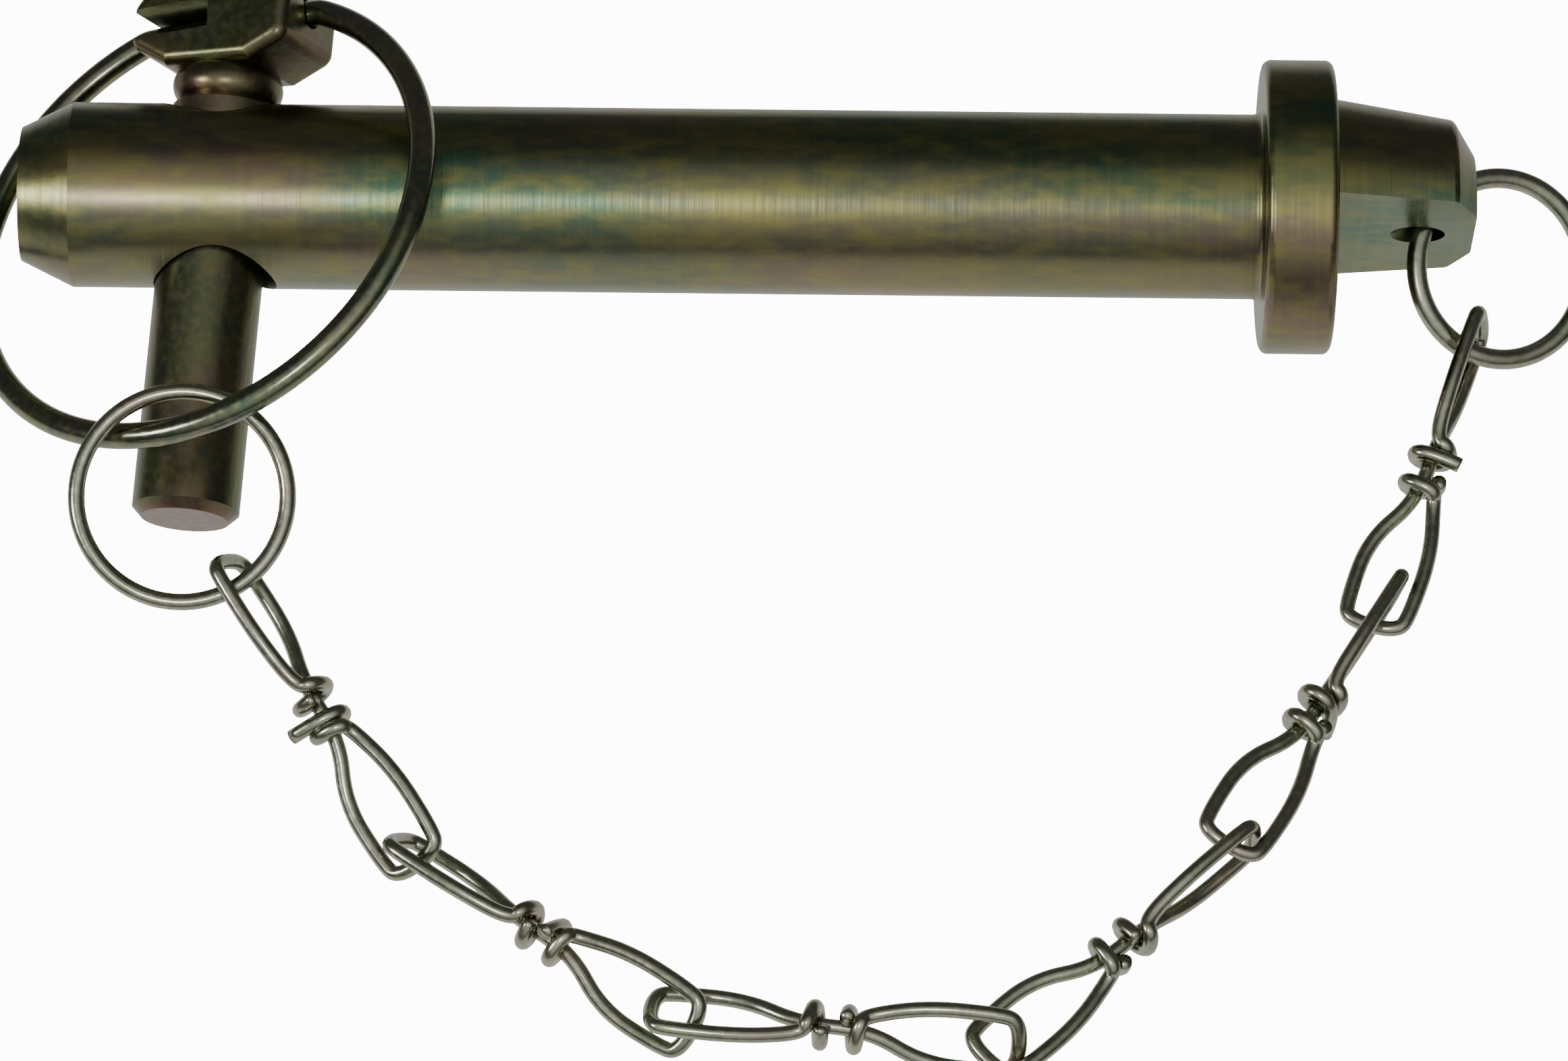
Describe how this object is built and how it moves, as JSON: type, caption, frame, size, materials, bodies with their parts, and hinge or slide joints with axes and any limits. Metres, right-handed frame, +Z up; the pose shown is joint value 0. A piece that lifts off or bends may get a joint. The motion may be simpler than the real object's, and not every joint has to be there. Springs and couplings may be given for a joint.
{
  "type": "top link pin",
  "caption": "Round steel link pin with a collar and holed nose, a ring-head linch pin in its cross hole, and a knotted wire chain between them",
  "frame": {"origin": "on the link pin's axis, at the collar's bearing face", "axes": "+X along the link pin towards its nose, -Y towards the chain, +Z up"},
  "size_m": [0.1678, 0.1199, 0.0328],
  "materials": {
    "plated_pin": "yellow passivated zinc, satin",
    "spring_wire": "yellow passivated zinc, semi-bright",
    "chain_wire": "zinc plated, semi-bright"
  },
  "bodies": {
    "link_pin": {"link_pin": "plated_pin"},
    "linch_pin": {"linch_pin": "plated_pin"},
    "linch_ring": {"linch_ring": "spring_wire"},
    "tether_ring": {"tether_ring": "chain_wire"},
    "chain_link_1": {"chain_link_1": "chain_wire"},
    "chain_link_2": {"chain_link_2": "chain_wire"},
    "chain_link_3": {"chain_link_3": "chain_wire"},
    "chain_link_4": {"chain_link_4": "chain_wire"},
    "chain_link_5": {"chain_link_5": "chain_wire"},
    "chain_link_6": {"chain_link_6": "chain_wire"},
    "nose_ring": {"nose_ring": "chain_wire"}
  },
  "joints": [
    {"name": "linch_pin_turn", "type": "hinge", "parent": "link_pin", "child": "linch_pin", "pos_m": [-0.107, 0, 0], "axis": [-0.0698, -0.954, -0.2917], "range_deg": [0, 110]},
    {"name": "linch_ring_flip", "type": "hinge", "parent": "linch_pin", "child": "linch_ring", "pos_m": [-0.10573, 0.01736, 0.00531], "axis": [0.8892, -0.1095, 0.4443], "range_deg": [-180, 0]},
    {"name": "nose_ring_swing", "type": "hinge", "parent": "link_pin", "child": "nose_ring", "pos_m": [0.01878, 0.00007, 0.00001], "axis": [0.6691, 0.7295, 0.1418], "range_deg": [0, 70]},
    {"name": "link_6_swing", "type": "hinge", "parent": "nose_ring", "child": "chain_link_6", "pos_m": [0.02494, -0.00422, -0.00462], "axis": [-0.3141, 0.4505, -0.8357], "range_deg": [-180, 5]},
    {"name": "link_5_swing", "type": "hinge", "parent": "chain_link_6", "child": "chain_link_5", "pos_m": [0.01242, -0.04069, -0.01151], "axis": [0, 0, -1], "range_deg": [-32, 2]},
    {"name": "link_4_swing", "type": "hinge", "parent": "chain_link_5", "child": "chain_link_4", "pos_m": [-0.00278, -0.06895, -0.01051], "axis": [0, 0, 1], "range_deg": [-1, 105]},
    {"name": "link_3_swing", "type": "hinge", "parent": "chain_link_4", "child": "chain_link_3", "pos_m": [-0.02646, -0.0923, -0.01203], "axis": [0, 0, -1], "range_deg": [-96, 1]},
    {"name": "link_2_swing", "type": "hinge", "parent": "chain_link_3", "child": "chain_link_2", "pos_m": [-0.05908, -0.08899, -0.01216], "axis": [0, 0, 1], "range_deg": [-1, 105]},
    {"name": "link_1_swing", "type": "hinge", "parent": "chain_link_2", "child": "chain_link_1", "pos_m": [-0.08564, -0.07046, -0.01193], "axis": [0, 0, -1], "range_deg": [-120, 2]},
    {"name": "tether_ring_turn", "type": "hinge", "parent": "chain_link_1", "child": "tether_ring", "pos_m": [-0.10883, -0.03766, 0.00189], "axis": [0, -0.4509, 0.8926], "range_deg": [-170, 170]}
  ]
}
